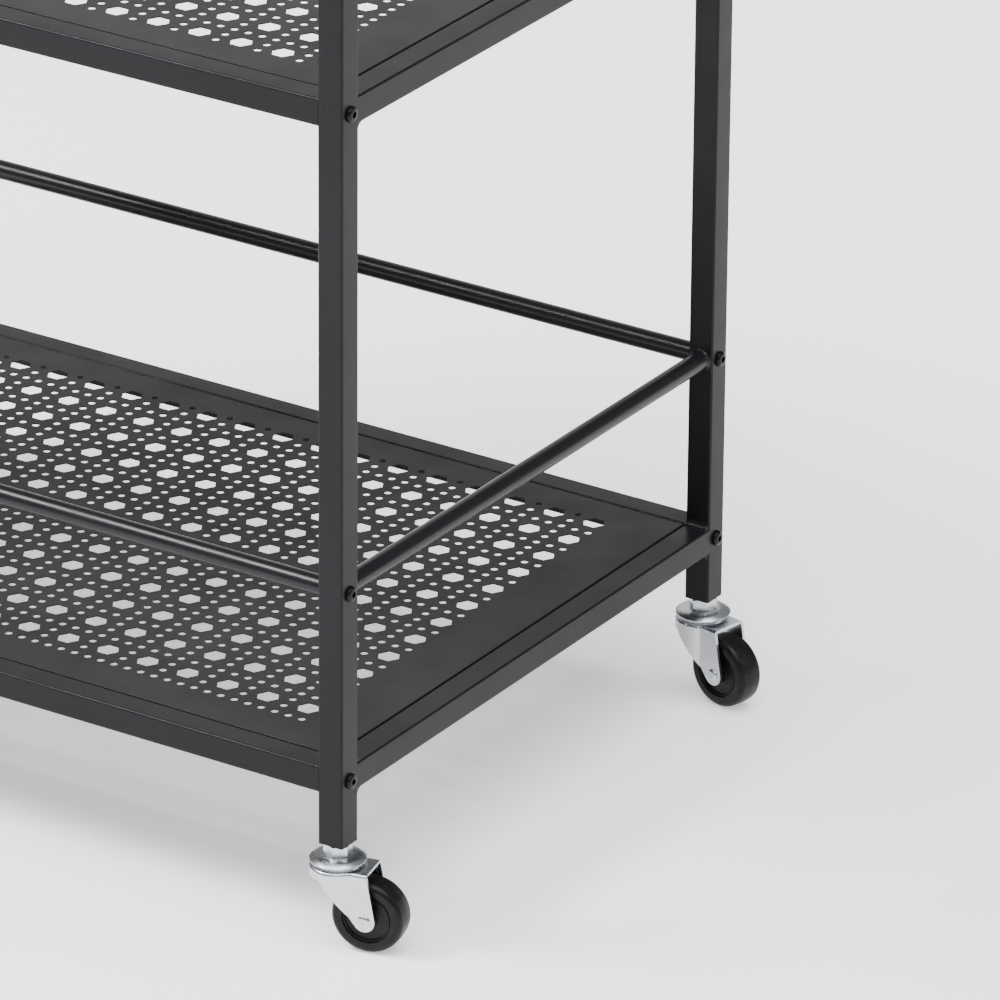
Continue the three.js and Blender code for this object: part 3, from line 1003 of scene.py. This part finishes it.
# %% Casters in place
for corner, (side, face) in CORNERS.items():
    swivel = Vector((side * LEG_X, face * LEG_Y, 0))
    wheel_at = middle_of(f"caster_wheel_{corner}")
    turn = atan2(wheel_at.y - swivel.y, wheel_at.x - swivel.x)
    place = Matrix.Translation(swivel) @ Matrix.Rotation(turn, 4, "Z")
    for model, kind, body, finish_name in (
        (stem_model, "stem", "root", "zinc"),
        (fork_model, "fork", f"fork_{corner}", "zinc"),
        (axle_model, "axle", f"fork_{corner}", "zinc"),
        (wheel_model, "wheel", f"wheel_{corner}", "wheel_moulding"),
    ):
        node = f"caster_{kind}_{corner}"
        set_in_place(model, f"{kind}_of_caster_{corner}", body, finish_name, place, [node])
    print(corner, "caster stands at", round(turn * 180 / pi, 1), "degrees")
discard(stem_model, fork_model, axle_model, wheel_model)

# %% [markdown]
# ## Finishes
# Every finish is made of procedural nodes that read Object coordinates, so it stays put on its
# piece and needs no image. Two helpers keep the node work short: one adds a node with its
# settings, and one adds a noise at a real size in metres.

# %% Node helpers
def new_finish(name):
    """An empty material with its Principled shader."""
    material = bpy.data.materials.new(name)
    material.use_nodes = True
    tree = material.node_tree
    shader = tree.nodes["Principled BSDF"]
    return material, tree, shader


def noise(tree, grain, detail=3.0, stretch=(1, 1, 1)):
    """Noise whose grain is a size in metres."""
    coordinates = tree.nodes.new("ShaderNodeTexCoord")
    mapping = tree.nodes.new("ShaderNodeMapping")
    mapping.inputs["Scale"].default_value = [s / grain for s in stretch]
    texture = tree.nodes.new("ShaderNodeTexNoise")
    texture.inputs["Scale"].default_value = 1.0
    texture.inputs["Detail"].default_value = detail
    tree.links.new(coordinates.outputs["Object"], mapping.inputs["Vector"])
    tree.links.new(mapping.outputs["Vector"], texture.inputs["Vector"])
    return texture.outputs["Fac"]


def spread(tree, value, low, high, start=0.3, end=0.7):
    """Maps the middle of a noise onto a range of numbers."""
    node = tree.nodes.new("ShaderNodeMapRange")
    node.inputs["From Min"].default_value = start
    node.inputs["From Max"].default_value = end
    node.inputs["To Min"].default_value = low
    node.inputs["To Max"].default_value = high
    tree.links.new(value, node.inputs["Value"])
    return node.outputs["Result"]


def blend_colours(tree, factor, first, second):
    node = tree.nodes.new("ShaderNodeMix")
    node.data_type = "RGBA"
    tree.links.new(factor, node.inputs["Factor"])
    node.inputs["A"].default_value = (*first, 1)
    node.inputs["B"].default_value = (*second, 1)
    return node.outputs["Result"]


def bump(tree, shader, height, distance, strength=1.0):
    """Adds a bump of a real height to the shader, on top of any bump already there."""
    node = tree.nodes.new("ShaderNodeBump")
    node.inputs["Distance"].default_value = distance
    node.inputs["Strength"].default_value = strength
    tree.links.new(height, node.inputs["Height"])
    if shader.inputs["Normal"].is_linked:
        tree.links.new(shader.inputs["Normal"].links[0].from_socket, node.inputs["Normal"])
    tree.links.new(node.outputs["Normal"], shader.inputs["Normal"])


# %% [markdown]
# Powder coat is a baked plastic skin. It flows a little before it sets, so it has a fine pebble
# and a broad, shallow orange peel. It is not quite one colour or one gloss, and handling leaves
# faint cloudy patches. The guard bars were coated separately and came out smoother.

# %% Powder coat
def powder_coat(name, colour, gloss, shine, pebble):
    material, tree, shader = new_finish(name)
    lighter = [1.18 * c for c in colour]
    patches = spread(tree, noise(tree, 0.09, 2), 0, 1)
    tree.links.new(blend_colours(tree, patches, colour, lighter), shader.inputs["Base Color"])
    haze = spread(tree, noise(tree, 0.035, 4), gloss - 0.04, gloss + 0.05)
    tree.links.new(haze, shader.inputs["Roughness"])
    shader.inputs["Specular IOR Level"].default_value = shine
    bump(tree, shader, noise(tree, 0.0011, 2), pebble)
    bump(tree, shader, noise(tree, 0.006, 1), 1.2 * pebble)
    return material


CHARCOAL = (0.0070, 0.0070, 0.0085)
SHELF_CHARCOAL = (0.0150, 0.0158, 0.0155)
PEBBLE, FINE_PEBBLE = 0.012 * MM, 0.005 * MM
finishes = {
    "frame_coat": powder_coat("charcoal_powder_coat", CHARCOAL, 0.32, 0.12, PEBBLE),
    "guard_coat": powder_coat("charcoal_bar_coat", CHARCOAL, 0.30, 0.22, FINE_PEBBLE),
    "shelf_coat": powder_coat("charcoal_shelf_coat", SHELF_CHARCOAL, 0.40, 0.12, PEBBLE),
}

# %% [markdown]
# Bright zinc is metal all through, so its colour is the colour of its reflections. The plating
# leaves a faint drift between blue and straw, fine lines from the rolled sheet, and a slight
# unevenness that breaks up the reflections.

# %% Zinc, black oxide, plastic and wheel
def zinc_plate():
    material, tree, shader = new_finish("bright_zinc")
    drift = spread(tree, noise(tree, 0.012, 3), 0, 1)
    colours = blend_colours(tree, drift, (0.49, 0.52, 0.57), (0.56, 0.57, 0.59))
    tree.links.new(colours, shader.inputs["Base Color"])
    shader.inputs["Metallic"].default_value = 1.0
    lines = noise(tree, 0.0007, 2, stretch=(1, 1, 0.06))
    tree.links.new(spread(tree, lines, 0.25, 0.30), shader.inputs["Roughness"])
    bump(tree, shader, lines, 0.0003 * MM)
    bump(tree, shader, noise(tree, 0.009, 1), 0.012 * MM)
    return material


def black_oxide():
    material, tree, shader = new_finish("black_oxide")
    blotch = spread(tree, noise(tree, 0.004, 3), 0, 1)
    colours = blend_colours(tree, blotch, (0.003, 0.003, 0.0035), (0.006, 0.006, 0.007))
    tree.links.new(colours, shader.inputs["Base Color"])
    shader.inputs["Specular IOR Level"].default_value = 0.14
    tree.links.new(spread(tree, noise(tree, 0.002, 2), 0.2, 0.28), shader.inputs["Roughness"])
    bump(tree, shader, noise(tree, 0.0008, 2), 0.01 * MM)
    return material


def moulded(name, colour, scuffed, low, high, grain):
    """A moulded black plastic or rubber, with scuffs that are greyer and duller."""
    material, tree, shader = new_finish(name)
    scuffs = spread(tree, noise(tree, 0.005, 6), 0, 1, start=0.5, end=0.72)
    tree.links.new(blend_colours(tree, scuffs, colour, scuffed), shader.inputs["Base Color"])
    tree.links.new(spread(tree, noise(tree, 0.009, 5), low, high), shader.inputs["Roughness"])
    shader.inputs["Specular IOR Level"].default_value = 0.16
    bump(tree, shader, noise(tree, grain, 3), 0.03 * MM)
    return material


finishes["zinc"] = zinc_plate()
finishes["black_oxide"] = black_oxide()
finishes["cap_plastic"] = moulded("cap_plastic", (0.008,) * 3, (0.014,) * 3, 0.42, 0.55, 0.0008)
finishes["wheel_moulding"] = moulded(
    "wheel_moulding", (0.004, 0.004, 0.0045), (0.009, 0.009, 0.0095), 0.30, 0.5, 0.0011
)
print("finishes:", ", ".join(finishes))

# %% Give each piece its finish
for piece, finish_name in finished:
    piece.data.materials.clear()
    piece.data.materials.append(finishes[finish_name])
total = sum(triangles(piece) for piece, _ in finished)
print(len(finished), "pieces,", total, "triangles")

# %% [markdown]
# ## Floor and light
# The cart stands on a pale floor that runs out of sight. A white sky fills in softly from all
# round, a broad light overhead models the tops of the tubes, and one from the right lifts the
# cart's end.

# %% Studio
let_go()
bpy.ops.mesh.primitive_plane_add(size=60, location=(0, 0, 0))
floor = bpy.context.object
floor.name = "studio_floor"
floor_finish, _, floor_shader = new_finish("studio_floor")
floor_shader.inputs["Base Color"].default_value = (0.9, 0.9, 0.9, 1)
floor_shader.inputs["Roughness"].default_value = 1.0
floor_shader.inputs["Specular IOR Level"].default_value = 0.0
floor_shader.inputs["Emission Color"].default_value = (1, 1, 1, 1)
floor_shader.inputs["Emission Strength"].default_value = 0.6
floor.data.materials.append(floor_finish)

world = bpy.data.worlds.new("studio_sky")
world.use_nodes = True
world.node_tree.nodes["Background"].inputs["Color"].default_value = (1, 1, 1, 1)
world.node_tree.nodes["Background"].inputs["Strength"].default_value = 0.3
bpy.context.scene.world = world


def area_light(name, place, target, size, power):
    """A square soft box that looks at a point."""
    data = bpy.data.lights.new(name, "AREA")
    data.shape = "SQUARE"
    data.size = size
    data.energy = power
    lamp = bpy.data.objects.new(name, data)
    bpy.context.collection.objects.link(lamp)
    place, target = Vector(place), Vector(target)
    lamp.location = place
    lamp.rotation_euler = (target - place).to_track_quat("-Z", "Y").to_euler()
    return lamp


cart_middle = (0, 0, 0.35)
sun_data = bpy.data.lights.new("overhead_light", "SUN")
sun_data.energy = 4.6
sun_data.angle = radians(60)
sun = bpy.data.objects.new("overhead_light", sun_data)
bpy.context.collection.objects.link(sun)
sun.rotation_euler = (radians(14), radians(10), 0)
area_light("back_left_softbox", (-1.9, 2.6, 1.7), cart_middle, 2.0, 12)
area_light("front_left_softbox", (-1.6, -1.4, 2.9), cart_middle, 1.0, 170)
area_light("right_softbox", (3.0, 1.2, 1.6), cart_middle, 1.2, 14)

# %% [markdown]
# Last, the view layer is updated.

# %% Update the view layer
bpy.context.view_layer.update()
